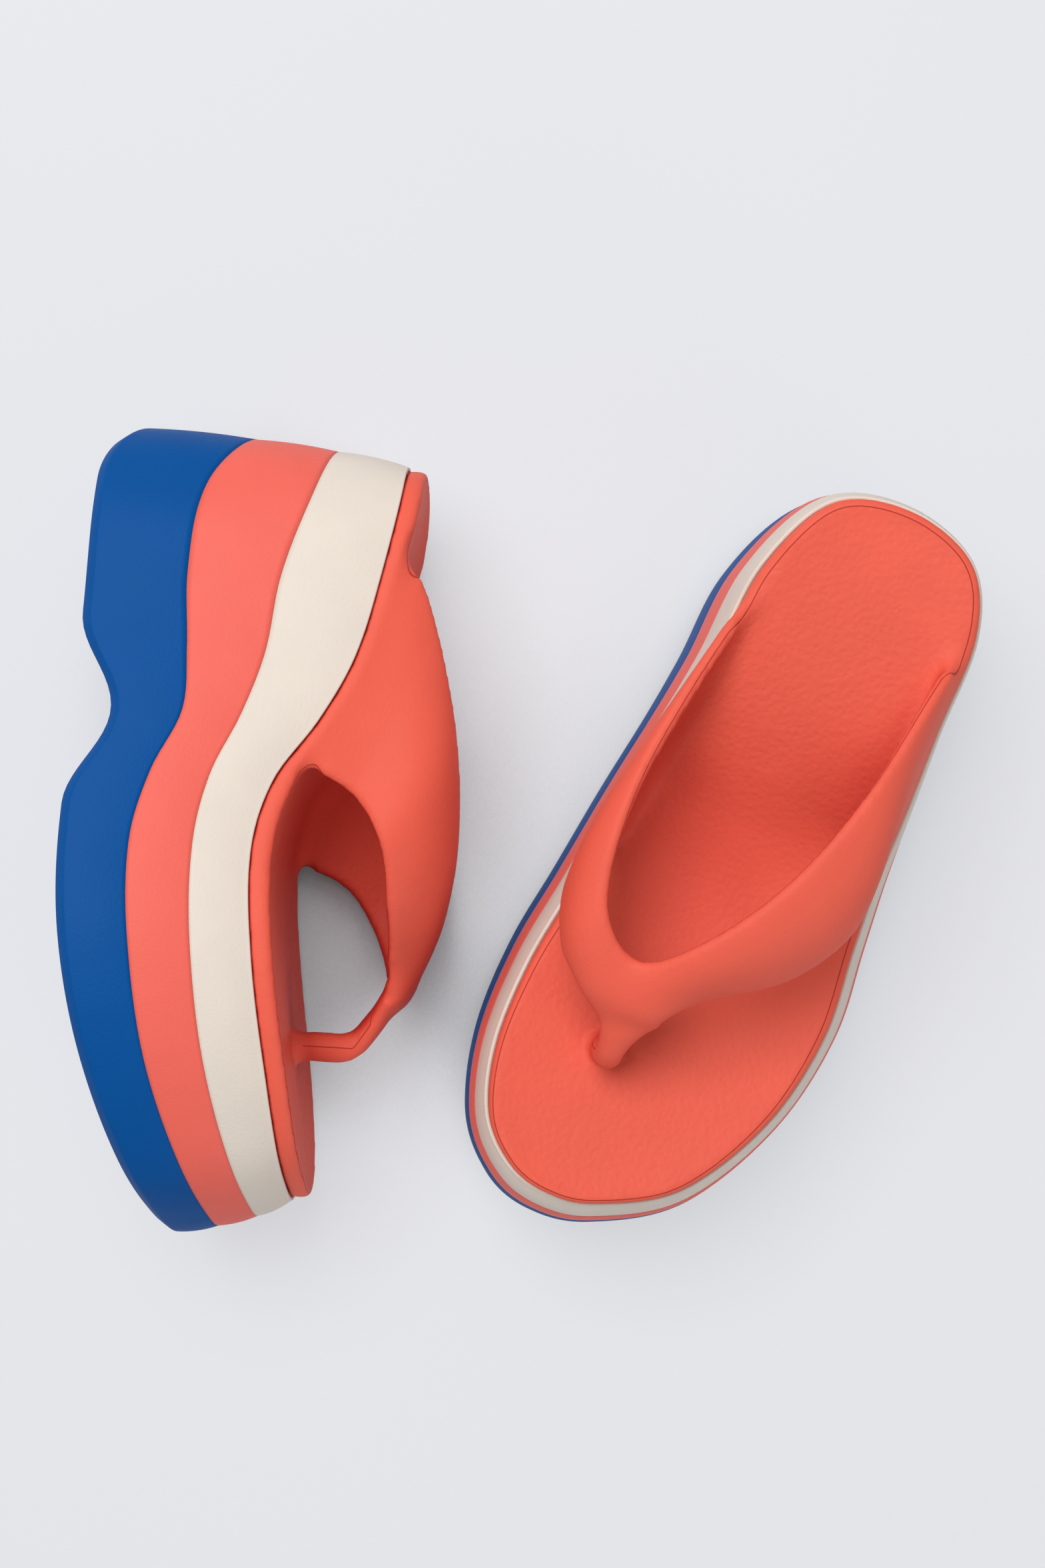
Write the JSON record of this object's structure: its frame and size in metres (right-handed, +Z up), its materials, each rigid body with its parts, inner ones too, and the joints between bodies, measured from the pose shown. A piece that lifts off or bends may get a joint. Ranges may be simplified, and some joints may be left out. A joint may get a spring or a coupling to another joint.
{
  "type": "pair of platform thong sandals",
  "caption": "Pair of platform thong sandals to wear: moulded V-strap uppers with a toe post, on thick soles of stacked coloured foam layers with a waved profile.",
  "frame": {"origin": "bottom centre of the pair's box, on the ground", "axes": "+Z up from the ground; +X across both sandals, from the lying right one to the standing left one; -Y the way both toes point"},
  "size_m": [0.2936, 0.2666, 0.1219],
  "materials": {
    "coral_upper": "matte moulded foam with a fine leather-like grain",
    "cream_layer": "matte moulded foam with a fine grain",
    "coral_layer": "matte moulded foam with a fine grain",
    "blue_outsole": "matte moulded foam with a fine grain"
  },
  "bodies": {
    "right_sandal": {"right_upper": "coral_upper", "right_cream_layer": "cream_layer", "right_coral_layer": "coral_layer", "right_blue_outsole": "blue_outsole"},
    "left_sandal": {"left_upper": "coral_upper", "left_cream_layer": "cream_layer", "left_coral_layer": "coral_layer", "left_blue_outsole": "blue_outsole"}
  },
  "joints": [
    {"name": "left_lift", "type": "slide", "parent": "right_sandal", "child": "left_sandal", "axis": [0, 0, 1], "range_m": [0, 0.15]}
  ]
}
